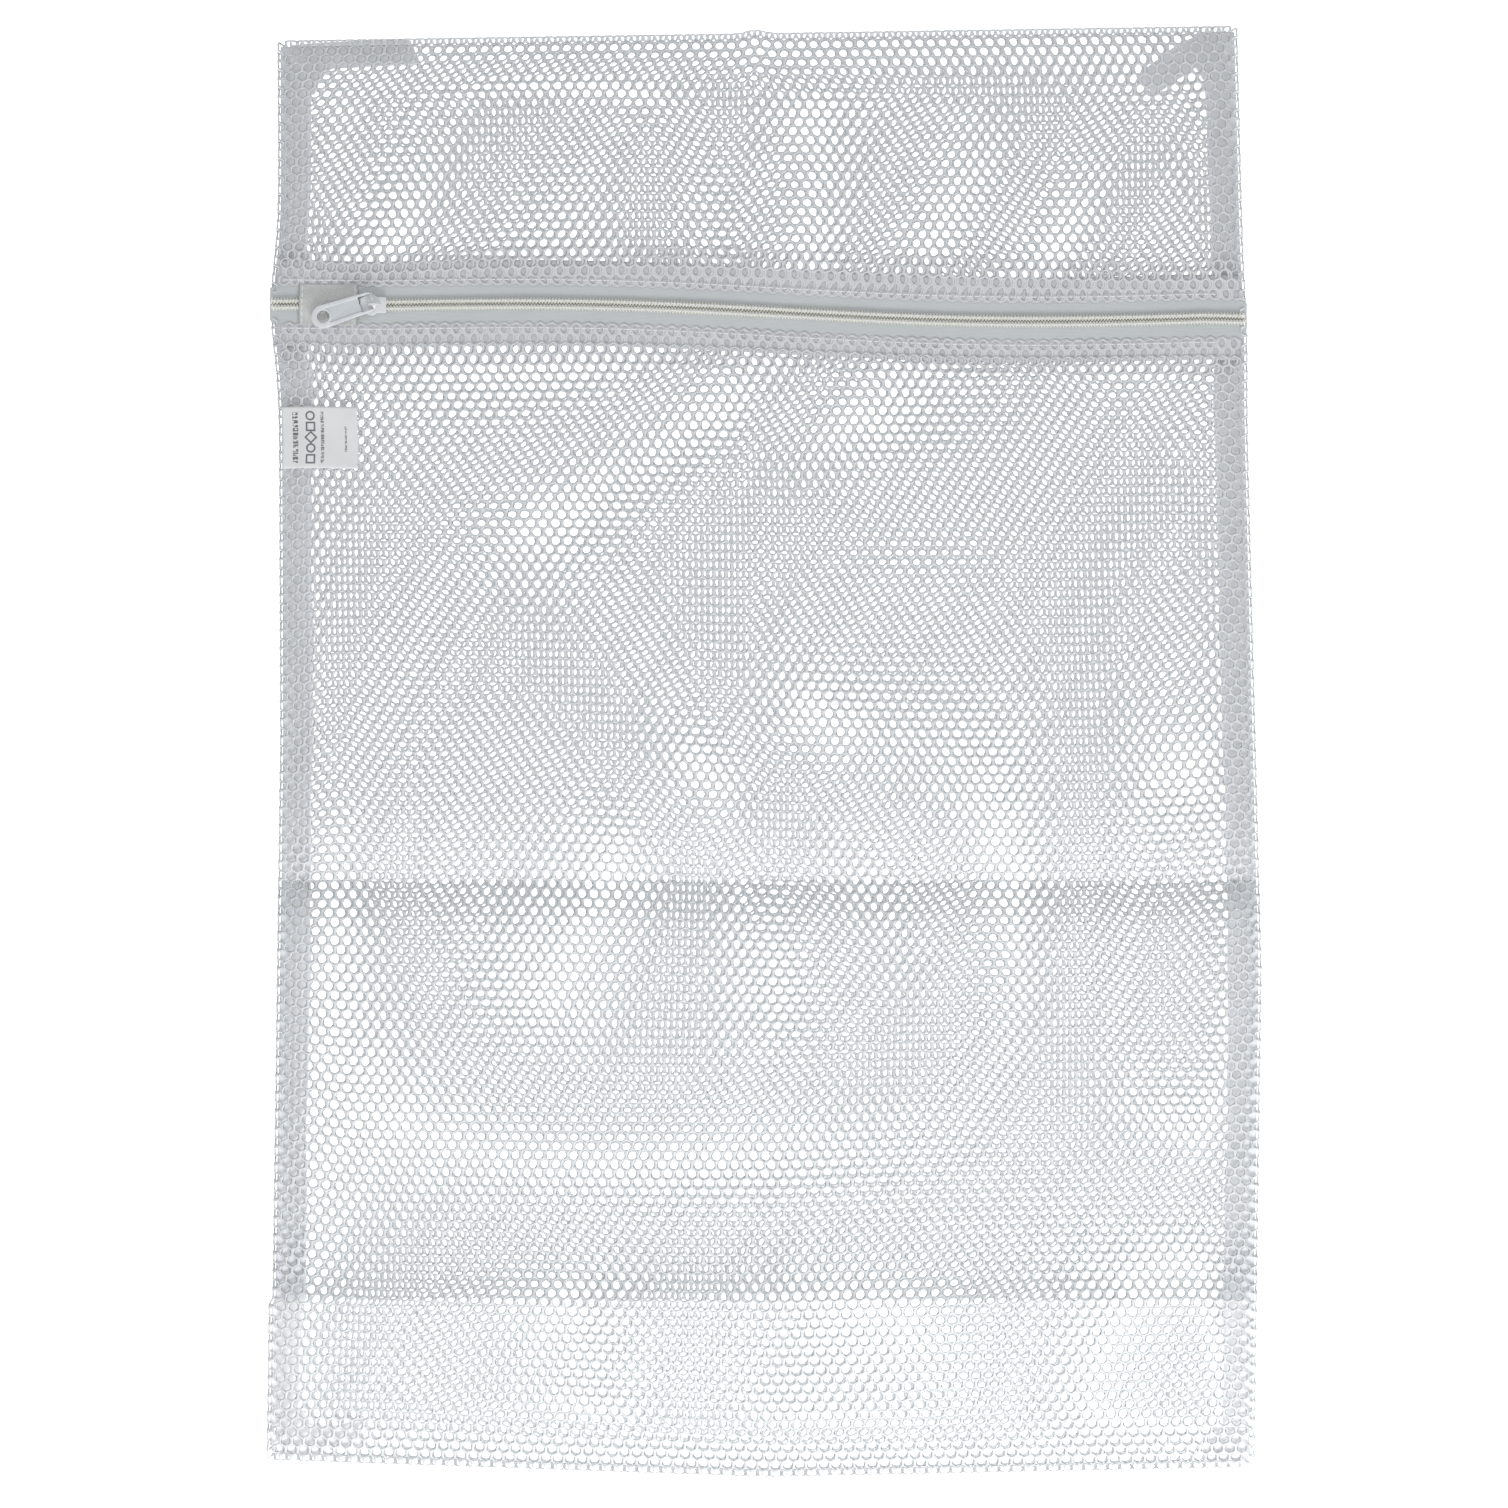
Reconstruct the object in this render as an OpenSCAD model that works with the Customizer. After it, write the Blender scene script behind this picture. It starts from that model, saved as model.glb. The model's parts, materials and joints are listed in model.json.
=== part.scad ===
// Mesh laundry bag, lying flat on its back with the zip closed.
// X runs across the bag, Y from the closed end up to the zip end, and Z up.
// The origin is the centre of the face that the bag lies on.

/* [Bag outline] */
// Width of the bag where it is widest
bag_w = 404; // [390:1:450]
// Length of the bag from its closed end to its zip end
bag_l = 591; // [570:1:640]
// How far the bag draws in at its top left corner
top_draw_left = 3; // [0:1:10]
// How far the left side draws in at its middle
waist_draw_left = 4; // [0:1:6]
// How far the bag draws in at its top right corner
top_draw_right = 10; // [0:1:14]
// How far the bag draws in at its bottom right corner
bottom_draw_right = 3; // [0:1:10]
// How far the top left corner falls short of the full length
top_short_left = 6; // [0:0.5:8]
// How far the bottom left corner lies above the bottom edge's middle
bottom_short_left = 7; // [0:0.5:10]
// How far the bottom right corner lies above the bottom edge's middle
bottom_short_right = 4; // [0:0.5:10]
// Height at which the right side is widest
widest_y = -89; // [-120:1:20]
// Height at which the left side is narrowest
waist_y = 5; // [-80:1:80]

/* [Net] */
// Thickness of one layer of knitted net
net_t = 0.9; // [0.6:0.1:1.2]
// Free space between the two faces of the bag
bag_gap = 5.2; // [5:0.1:12]
// Width of the turned edge along each side seam
seam_w = 2; // [2:0.5:4]
// Width of net that stands on edge in the top and bottom folds
fold_w = 2; // [1:0.5:3]

/* [Side binding] */
// Width of the binding tape once it is folded over the raw edges
binding_w = 12; // [10:0.5:14]
// Thickness of the binding tape
binding_t = 0.5; // [0.3:0.1:0.6]
// Thickness of the two raw net edges pressed inside the binding
allowance_t = 1; // [0.8:0.1:1.2]
// Thickness of a loose folded tape tail
tail_t = 1.2; // [0.8:0.1:1.6]

/* [Zip] */
// Height of the zip's centre line on the bag's middle line
zip_y = 179; // [150:0.1:200]
// Slope of the zip across the bag, in degrees
zip_slope = -0.89; // [-2:0.01:0]
// Width of one side of the woven zip tape
tape_w = 16.4; // [12:0.2:17]
// Thickness of the woven zip tape
tape_t = 0.6; // [0.4:0.1:0.6]
// Half of the tape's width that shows between the two net hems
show_half = 8.2; // [7:0.1:9]
// Width of the net hem above the zip
hem_upper_w = 10; // [6:0.5:12]
// Width of the net hem below the zip
hem_lower_w = 8.8; // [6:0.2:12]
// Width of one nylon coil
coil_w = 1.6; // [1.4:0.1:1.8]
// Height of the nylon coil above its tape
coil_h = 1.4; // [1.2:0.1:1.6]
// Gap between the two coils, where the slider's divider runs
coil_gap = 1.2; // [1:0.1:1.4]
// Left and right ends of the woven patch that covers the zip's closed end
patch_left = -190; // [-192:0.5:-186]
patch_right = -166; // [-170:0.5:-165]

/* [Slider and pull tab] */
// Where the slider's middle is when the zip is closed
slider_u = -159.3; // [-161:0.1:-150]
// Length of the slider
slider_l = 10; // [9:0.1:12]
// Width of the slider across its shoulders
slider_w = 8.8; // [7.8:0.1:9.2]
// Width of the slider at its narrow end
slider_tail_w = 6.4; // [6.4:0.1:7.2]
// Length of the pull tab from its cross bar to its round end
tab_l = 25.7; // [18:0.1:30]
// Width of the pull tab at its round end
tab_w = 9.4; // [8.4:0.1:10]
// Width of the pull tab at its cross bar
tab_bar_w = 8.1; // [8:0.1:8.4]
// Thickness of the pull tab
tab_t = 1.6; // [1.4:0.1:1.6]
// Diameter of the hole in the pull tab's round end
tab_hole_d = 5.2; // [4:0.1:5.4]
// Turn of the pull tab in the plane of the bag, in degrees
tab_turn = 18.8; // [10:0.1:22]
// How far the pull tab has slid along its cross bar
tab_slide = 1.5; // [0:0.1:1.5]

/* [Care label] */
// Length of the care label that shows beside the seam
label_l = 30.8; // [20:0.1:40]
// Height of the care label
label_h = 25.2; // [20:0.1:35]
// Height of the label's middle on the bag
label_y = 127.6; // [110:0.1:130]
// Thickness of the care label
label_t = 0.35; // [0.2:0.05:0.5]

/* [Hidden] */
$fn = 48;

// Outline of the bag, seen from above: its sides from bottom to top
left_side = [
    [-bag_w / 2, -bag_l / 2 + bottom_short_left],
    [-bag_w / 2 + waist_draw_left, waist_y],
    [-bag_w / 2 + top_draw_left, bag_l / 2 - top_short_left]
];
right_side = [
    [bag_w / 2 - bottom_draw_right, -bag_l / 2 + bottom_short_right],
    [bag_w / 2, widest_y],
    [bag_w / 2 - top_draw_right, bag_l / 2]
];
// Middle of the bottom edge, which bows outward
bottom_mid = [0, -bag_l / 2];

// Levels through the thickness of the bag
front_z = net_t + bag_gap;
binding_h = 2 * binding_t + allowance_t;
tape_z = front_z - tape_t;
coil_z = front_z;
coil_top = coil_z + coil_h;
hem_top = front_z + 2 * net_t;

// Clearance round the slider, and the thickness of its two plates
run_gap = 0.3;
plate_t = 0.9;
divider_t = 0.6;
divider_l = 3;
slider_top = coil_top + run_gap + plate_t;
rail_in = coil_gap / 2 + coil_w + 0.4;

// The arch on top of the slider that holds the pull tab
arch_l = 6;
arch_leg = 0.9;
arch_w = 1;
arch_bar = 0.7;
bar_r = tab_t / 2;
pivot_z = slider_top + bar_r + run_gap;
arch_top = pivot_z + bar_r + run_gap + arch_bar;

// The window in the pull tab that the arch stands in
window_l = 5.4;
window_w = 6.4;
// The raised rim round the tab, the ring round its hole, and the depth of the field inside them
tab_rim = 1.5;
hole_rim = 0.7;
tab_recess = 0.4;
// Where the round end's centre lies, and how the corners at the bar are cut off
round_x = -tab_l + tab_w / 2;
corner_cut = 1;

// The filler cord inside each coil, and the play round it
core_w = 0.5;
core_h = 0.4;
core_play = 0.05;

thread_w = 0.5;
thread_h = 0.25;
// How far inside the bag's side the label's seam line lies
label_in = 1.6;
far = 2 * bag_w;

net_color = [0.86, 0.88, 0.89];
tape_color = [0.80, 0.82, 0.84];
coil_color = [0.83, 0.83, 0.78];
metal_color = [0.92, 0.93, 0.93];
label_color = [0.82, 0.83, 0.83];
thread_color = [0.93, 0.94, 0.95];

// The bag's left and right sides at a height, and its ends at a width
function left_x(y) = lookup(y, [for (p = left_side) [p[1], p[0]]]);
function right_x(y) = lookup(y, [for (p = right_side) [p[1], p[0]]]);
function top_y(x) = lookup(x, [left_side[2], right_side[2]]);
function bottom_y(x) = lookup(x, [left_side[0], bottom_mid, right_side[0]]);

// The points of a side moved inward: in across the bag, and end_in along it at the corners
function side_points(side, in, end_in = 0) = [
    for (i = [0:2])
        let (x = side[i][0] + in)
        [x, i == 0 ? bottom_y(x) + end_in : i == 1 ? side[i][1] : top_y(x) - end_in]
];
function reversed(points) = [for (i = [len(points) - 1:-1:0]) points[i]];

// The whole outline, drawn in by side_in at both sides and by end_in at both ends
module bag_shape(side_in = 0, end_in = 0) {
    polygon(concat(
        [bottom_mid + [0, end_in]], side_points(right_side, -side_in, end_in),
        reversed(side_points(left_side, side_in, end_in))
    ));
}

// A strip that follows the left side, from a to b inside it, between two heights
module left_strip(a, b, y0, y1) {
    heights = [y0, waist_y, y1];
    polygon(concat(
        [for (y = heights) [left_x(y) + a, y]],
        [for (y = reversed(heights)) [left_x(y) + b, y]]
    ));
}

// The same along the right side
module right_strip(a, b, y0, y1) {
    heights = [y0, widest_y, y1];
    polygon(concat(
        [for (y = heights) [right_x(y) - a, y]],
        [for (y = reversed(heights)) [right_x(y) - b, y]]
    ));
}

// A band along the zip, from v0 to v1 across it
module zip_band(v0, v1) {
    translate([0, zip_y]) rotate(zip_slope) translate([-far / 2, v0]) square([far, v1 - v0]);
}

// Moves a child to distance u along the zip's centre line
module on_zip(u) {
    translate([0, zip_y, 0]) rotate([0, 0, zip_slope]) translate([u, 0, 0]) children();
}

// A flat layer between two levels
module layer(z0, z1) {
    translate([0, 0, z0]) linear_extrude(z1 - z0) children();
}

// --- Net ---

module back_net() {
    color(net_color) layer(0, net_t) bag_shape();
}

module front_upper_net() {
    color(net_color) layer(front_z, front_z + net_t) intersection() {
        bag_shape();
        zip_band(show_half + hem_upper_w, far);
    }
}

module front_lower_net() {
    color(net_color) layer(front_z, front_z + net_t) intersection() {
        bag_shape();
        zip_band(-2 * far, -show_half - hem_lower_w);
    }
}

// The rim of the outline at one end, between the side seams; end is 1 at the top and -1 at the bottom
module end_rim(end) {
    rim_l = fold_w + 1 + (end > 0 ? top_short_left : bottom_short_left);
    intersection() {
        difference() {
            bag_shape(seam_w);
            bag_shape(seam_w, fold_w);
        }
        translate([0, end * (bag_l - rim_l) / 2]) square([far, rim_l], center = true);
    }
}

// The net bends over from face to face at each end
module top_fold() {
    color(net_color) layer(net_t, front_z) end_rim(1);
}

module bottom_fold() {
    color(net_color) layer(net_t, front_z) end_rim(-1);
}

// The edges of both faces turn in and meet along each side
module side_seam_left() {
    color(net_color) layer(net_t, front_z)
        polygon(concat(left_side, reversed(side_points(left_side, seam_w))));
}

module side_seam_right() {
    color(net_color) layer(net_t, front_z)
        polygon(concat(right_side, reversed(side_points(right_side, -seam_w))));
}

// --- Binding ---

// Ends of the binding's two long runs
left_run = [-bag_l / 2 + 13, bag_l / 2 - 8.5];
right_run = [-bag_l / 2 + 20, bag_l / 2 - 2.5];

module binding_area(side) {
    if (side == "left") left_strip(seam_w, seam_w + binding_w, left_run[0], left_run[1]);
    else right_strip(seam_w, seam_w + binding_w, right_run[0], right_run[1]);
}

// The tape folded round the raw edges: two flat sides and the fold between them
module binding(side) {
    spine = seam_w + binding_w - binding_t;
    layer(net_t, net_t + binding_t) binding_area(side);
    layer(net_t + binding_t + allowance_t, net_t + binding_h) binding_area(side);
    layer(net_t + binding_t, net_t + binding_t + allowance_t) {
        if (side == "left") left_strip(spine, seam_w + binding_w, left_run[0], left_run[1]);
        else right_strip(spine, seam_w + binding_w, right_run[0], right_run[1]);
    }
}

module binding_left() {
    color(tape_color) binding("left");
}

module binding_right() {
    color(tape_color) binding("right");
}

// A loose end of the tape, from a point in the corner, at an angle
module tail(side, start, angle, length, width) {
    color(tape_color) layer(net_t, net_t + tail_t) difference() {
        intersection() {
            translate(start) rotate(angle) translate([0, -width / 2]) square([length, width]);
            bag_shape(seam_w, fold_w);
        }
        binding_area(side);
    }
}

module binding_tail_top_left() {
    tail("left", left_side[2] + [6, -6.2], 1.7, 53, 10);
}

module binding_tail_top_right() {
    tail("right", right_side[2] + [-9.7, 0.6], 215.5, 37, 11.5);
}

module binding_tail_bottom_left() {
    tail("left", left_side[0] + [5.5, 4], 12, 37, 11);
}

module binding_tail_bottom_right() {
    tail("right", right_side[0] + [-1, 8.9], 180, 20.7, 14);
}

// The cut edges of both faces, held inside the binding
module seam_allowance_left() {
    color(net_color) layer(net_t + binding_t, net_t + binding_t + allowance_t)
        left_strip(seam_w, seam_w + binding_w - binding_t, left_run[0], left_run[1]);
}

module seam_allowance_right() {
    color(net_color) layer(net_t + binding_t, net_t + binding_t + allowance_t)
        right_strip(seam_w, seam_w + binding_w - binding_t, right_run[0], right_run[1]);
}

module seam_thread_left() {
    color(thread_color) layer(net_t + binding_h, net_t + binding_h + thread_h)
        left_strip(seam_w + 2, seam_w + 2 + thread_w, left_run[0], left_run[1]);
}

module seam_thread_right() {
    color(thread_color) layer(net_t + binding_h, net_t + binding_h + thread_h)
        right_strip(seam_w + 2, seam_w + 2 + thread_w, right_run[0], right_run[1]);
}

// --- Zip ---

// The net is turned back on itself along the zip, two layers thick
module zip_hem_upper() {
    color(net_color) layer(front_z, hem_top) intersection() {
        bag_shape();
        zip_band(show_half, show_half + hem_upper_w);
    }
}

module zip_hem_lower() {
    color(net_color) layer(front_z, hem_top) intersection() {
        bag_shape();
        zip_band(-show_half - hem_lower_w, -show_half);
    }
}

// A band between the two side seams; side is 1 above the centre line and -1 below it
module between_seams(side, v0, v1) {
    intersection() {
        bag_shape(seam_w);
        zip_band(min(side * v0, side * v1), max(side * v0, side * v1));
    }
}

module zip_tape(side) {
    inner = coil_gap / 2 + run_gap;
    color(tape_color) layer(tape_z, front_z) between_seams(side, inner, inner + tape_w);
}

module zip_tape_upper() {
    zip_tape(1);
}

module zip_tape_lower() {
    zip_tape(-1);
}

core_v = coil_gap / 2 + (coil_w - core_w) / 2;
core_z = coil_z + (coil_h - core_h) / 2;

module coil(side) {
    color(coil_color) difference() {
        layer(coil_z, coil_top) between_seams(side, coil_gap / 2, coil_gap / 2 + coil_w);
        layer(core_z - core_play, core_z + core_h + core_play)
            zip_band(min(side * (core_v - core_play), side * (core_v + core_w + core_play)),
                     max(side * (core_v - core_play), side * (core_v + core_w + core_play)));
    }
}

module coil_upper() {
    coil(1);
}

module coil_lower() {
    coil(-1);
}

module coil_core(side) {
    color(thread_color) layer(core_z, core_z + core_h) between_seams(side, core_v, core_v + core_w);
}

module coil_core_upper() {
    coil_core(1);
}

module coil_core_lower() {
    coil_core(-1);
}

module zip_thread(side) {
    color(thread_color) layer(hem_top, hem_top + thread_h)
        between_seams(side, show_half + 1.2, show_half + 1.2 + thread_w);
}

module zip_thread_upper() {
    zip_thread(1);
}

module zip_thread_lower() {
    zip_thread(-1);
}

patch_t = 0.6;
patch_leg = 1.5;

// A woven patch bridges the coils and is sewn down to the tape on both sides of them
module zip_end_patch() {
    patch_l = patch_right - patch_left;
    color(tape_color) on_zip(patch_left) {
        translate([0, -show_half, coil_top]) cube([patch_l, 2 * show_half, patch_t]);
        translate([0, show_half - patch_leg, coil_z]) cube([patch_l, patch_leg, coil_h]);
        translate([0, -show_half, coil_z]) cube([patch_l, patch_leg, coil_h]);
    }
}

// Two rows of stitches across the patch's ends
module patch_thread() {
    color(thread_color)
        for (u = [patch_left + 1, patch_right - 1 - thread_w])
            on_zip(u) translate([0, -show_half + 1, coil_top + patch_t])
                cube([thread_w, 2 * show_half - 2, thread_h]);
}

// --- Slider, pull tab and label ---

// The slider's plan: broad shoulders to the left, where the two coils part
module slider_plan() {
    polygon([
        [-slider_l / 2, -slider_w / 2 + 1.8], [-slider_l * 0.35, -slider_w / 2 + 0.7],
        [-slider_l * 0.05, -slider_w / 2], [slider_l * 0.12, -slider_tail_w / 2],
        [slider_l / 2, -slider_tail_w / 2], [slider_l / 2, slider_tail_w / 2],
        [slider_l * 0.12, slider_tail_w / 2], [-slider_l * 0.05, slider_w / 2],
        [-slider_l * 0.35, slider_w / 2 - 0.7], [-slider_l / 2, slider_w / 2 - 1.8]
    ]);
}

module slider_body() {
    under = tape_z - run_gap;
    over = coil_top + run_gap;
    color(metal_color) on_zip(slider_u) {
        layer(under - plate_t, under) slider_plan();
        layer(over, slider_top) slider_plan();
        // The divider joins the plates at the shoulder end
        layer(under, over) translate([-slider_l / 2 + 0.8, -divider_t / 2]) square([divider_l, divider_t]);
        // The upper plate's side rails hold the coils in
        layer(front_z + run_gap, over) difference() {
            slider_plan();
            translate([-slider_l, -rail_in]) square([2 * slider_l, 2 * rail_in]);
        }
        // The arch over the pull tab's cross bar
        difference() {
            translate([-arch_l / 2, -arch_w / 2, slider_top])
                cube([arch_l, arch_w, arch_top - slider_top]);
            translate([-arch_l / 2 + arch_leg, -arch_w, slider_top])
                cube([arch_l - 2 * arch_leg, 2 * arch_w, arch_top - arch_bar - slider_top]);
        }
    }
}

// Plan of the tab: a round free end and straight sides that draw in towards the bar, drawn in by d
module tab_plan(d = 0) {
    translate([round_x, 0]) circle(r = tab_w / 2 - d);
    half = [
        [round_x, tab_w / 2 - d], [-corner_cut - d, tab_bar_w / 2 - d], [-d, tab_bar_w / 2 - corner_cut - d]
    ];
    polygon(concat(half, [for (p = reversed(half)) [p[0], -p[1]]]));
}

module pull_tab() {
    color(metal_color) on_zip(slider_u) rotate([0, 0, tab_turn]) translate([0, tab_slide, pivot_z]) {
        difference() {
            translate([0, 0, -tab_t / 2]) linear_extrude(tab_t) tab_plan();
            // Window for the slider's arch
            translate([-window_l, -window_w / 2, -tab_t]) cube([window_l + 1, window_w, 2 * tab_t]);
            // Hole through the round end
            translate([round_x, 0, -tab_t]) cylinder(d = tab_hole_d, h = 2 * tab_t);
            // Shallow field on the upper face, open to the window
            translate([0, 0, tab_t / 2 - tab_recess]) linear_extrude(tab_t) difference() {
                tab_plan(tab_rim);
                translate([round_x, 0]) circle(r = tab_hole_d / 2 + hole_rim);
                translate([-window_l, -tab_w]) square([far, 2 * tab_w]);
            }
        }
        rotate([90, 0, 0]) cylinder(r = bar_r, h = tab_bar_w - corner_cut, center = true);
    }
}

// The label's left edge is caught in the side seam, and the rest lies on the net
module care_label() {
    color(label_color) translate([left_x(label_y) + label_in, label_y - label_h / 2, front_z + net_t + run_gap])
        cube([label_l, label_h, label_t]);
}

back_net();
front_upper_net();
front_lower_net();
top_fold();
bottom_fold();
side_seam_left();
side_seam_right();
seam_allowance_left();
seam_allowance_right();
binding_left();
binding_right();
binding_tail_top_left();
binding_tail_top_right();
binding_tail_bottom_left();
binding_tail_bottom_right();
seam_thread_left();
seam_thread_right();
zip_hem_upper();
zip_hem_lower();
zip_tape_upper();
zip_tape_lower();
coil_upper();
coil_lower();
coil_core_upper();
coil_core_lower();
zip_thread_upper();
zip_thread_lower();
zip_end_patch();
patch_thread();
slider_body();
pull_tab();
care_label();
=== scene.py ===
import json
import math

import bmesh
import bpy
import numpy as np
from mathutils import Matrix, Vector


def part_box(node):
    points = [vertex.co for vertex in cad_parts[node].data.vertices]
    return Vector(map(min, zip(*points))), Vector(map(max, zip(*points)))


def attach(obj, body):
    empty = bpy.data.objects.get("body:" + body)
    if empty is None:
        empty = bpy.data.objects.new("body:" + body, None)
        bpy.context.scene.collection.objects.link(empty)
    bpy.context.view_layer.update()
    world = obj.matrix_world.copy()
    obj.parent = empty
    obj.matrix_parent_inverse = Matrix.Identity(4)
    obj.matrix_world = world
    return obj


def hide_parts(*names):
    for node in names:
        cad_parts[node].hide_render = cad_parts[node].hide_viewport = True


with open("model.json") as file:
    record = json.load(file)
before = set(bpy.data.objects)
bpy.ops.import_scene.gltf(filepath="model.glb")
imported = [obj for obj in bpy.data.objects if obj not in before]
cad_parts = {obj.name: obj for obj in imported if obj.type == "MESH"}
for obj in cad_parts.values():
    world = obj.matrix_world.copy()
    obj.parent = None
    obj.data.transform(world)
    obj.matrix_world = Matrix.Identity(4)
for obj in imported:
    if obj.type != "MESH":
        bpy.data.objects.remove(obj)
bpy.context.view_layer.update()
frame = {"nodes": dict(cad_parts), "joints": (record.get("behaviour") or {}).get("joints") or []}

# --- Camera -----------------------------------------------------------------------------------
# A long lens hangs straight above the bag, so that the flat bag keeps its shape.
mm = 0.001
lens, sensor = 100.0, 36.0
view_width = 613.8 * mm
camera = bpy.data.objects.new("camera", bpy.data.cameras.new("camera"))
camera.data.lens = lens
camera.data.sensor_width = sensor
camera.data.clip_end = 20
camera.location = (-4.9 * mm, -1.0 * mm, 5 * mm + view_width * lens / sensor)
bpy.context.scene.collection.objects.link(camera)
bpy.context.scene.camera = camera

# --- Knitted net ------------------------------------------------------------------------------
# One length of white polyester net, warp knitted with round holes in staggered rows. It is folded
# at both ends of the bag, turned in along both sides, and turned back in two hems at the zip.
# All lengths from here on are in mm.

# The net's outline: its sides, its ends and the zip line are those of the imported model, and the
# sides bulge a little where the stiff zip ends push them outward
corners = sorted({(v.co.x / mm, v.co.y / mm) for v in frame["nodes"]["back_net"].data.vertices},
                 key=lambda corner: corner[1])
left_side = np.array([c for c in corners if c[0] < -100])
right_side = np.array([c for c in corners if c[0] > 100])
bottom_edge = np.array(sorted([left_side[0], right_side[0]] + [c for c in corners if abs(c[0]) < 100],
                              key=lambda corner: corner[0]))
top_edge = np.array([left_side[-1], right_side[-1]])

joints = {joint["name"]: joint for joint in frame["joints"]}
zip_way = np.array(joints["slider_travel"]["axis"][:2])
zip_cross = np.array([-zip_way[1], zip_way[0]])
slider_at = np.array(joints["pull_tab_swing"]["pos_m"]) / mm
slider_u = slider_at[0] / zip_way[0]
zip_start = slider_at[:2] - slider_u * zip_way


def zip_wave(u):
    """How far the sewn zip wanders off its straight line at distance u along it."""
    turn = np.clip((u + 158) / 336, 0, 1) * math.pi
    return 2.1 * np.sin(2 * turn) - 0.5 * np.sin(turn)


def zip_y(x):
    """Height of the zip's centre line at x."""
    u = (x - zip_start[0]) / zip_way[0]
    return zip_start[1] + u * zip_way[1] + zip_wave(u)


def bulge(y, middle, size):
    """How far a side is pushed outward near the zip."""
    return size * np.exp(-((y - middle) / 26) ** 2)


closed_end_fold = -223
fold_step = 1.5


def left_x(y):
    step = fold_step * smooth_step((closed_end_fold + 1 - y) / 3)
    return np.interp(y, left_side[:, 1], left_side[:, 0]) - bulge(y, 181, 3.2) - step


def right_x(y):
    return np.interp(y, right_side[:, 1], right_side[:, 0]) + bulge(y, 170, 0.8)


def bottom_y(x):
    return np.interp(x, bottom_edge[:, 0], bottom_edge[:, 1])


middle_fold = -4.5


def top_y(x):
    peak = 1.4 * np.exp(-((x - middle_fold) / 5) ** 2)
    return np.interp(x, top_edge[:, 0], top_edge[:, 1]) + peak


def edge_distance(x, y):
    """Distance from the bag's nearest edge."""
    return np.minimum(np.minimum(x - left_x(y), right_x(y) - x), np.minimum(y - bottom_y(x), top_y(x) - y))


def smooth_step(t):
    t = np.clip(t, 0, 1)
    return t * t * (3 - 2 * t)


def crease(distance, width):
    """A fold line that was pressed in: 1 on the line, falling to 0 at the width."""
    return (1 - smooth_step(np.abs(distance) / width)) ** 1.5


def folds_across(y):
    """The two folds that were pressed in across the front: each a gentle ridge with a steep far side."""
    middle = np.interp(y, (-105, -67, -54, -33), (0, 1.3, -2.3, 0))
    closed_end = np.interp(y, (-290, -223, -214, -190), (-0.6, 1.6, -1.2, 0))
    return middle + closed_end


# The net folds round the rim, from the back face up to the front face
rim_reach = 3.0
back_z, rim_z = 0.5, 5.4
rim_middle, rim_rise = (back_z + rim_z) / 2, (rim_z - back_z) / 2
front_z = 6.5
near_zip = 24
rim_w = 8


def front_height(x, y):
    """Height of the front face: low at the rim, flat at the zip, with creases and soft puckers between."""
    inside = smooth_step((edge_distance(x, y) - rim_reach) / rim_w)
    free = smooth_step((np.abs(y - zip_y(x)) - near_zip) / 30) * inside
    level = rim_z + (front_z - rim_z) * inside
    level += folds_across(y) * inside
    level -= 1.6 * crease(x - middle_fold, 22) * free
    puckers = np.sin(x / 17 + 0.6 * np.sin(y / 43)) * np.sin(y / 29 + x / 120)
    puckers += 0.6 * np.sin(x / 9.3 - y / 31)
    return level + 0.35 * puckers * free


def back_height(x, y):
    """Height of the back face, which lies on the table and lifts off it in faint waves."""
    wave = 1 + np.sin(x / 31 + y / 57) * np.sin(y / 41 - x / 90)
    return back_z + 0.22 * wave * smooth_step(edge_distance(x, y) / 40)


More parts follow.
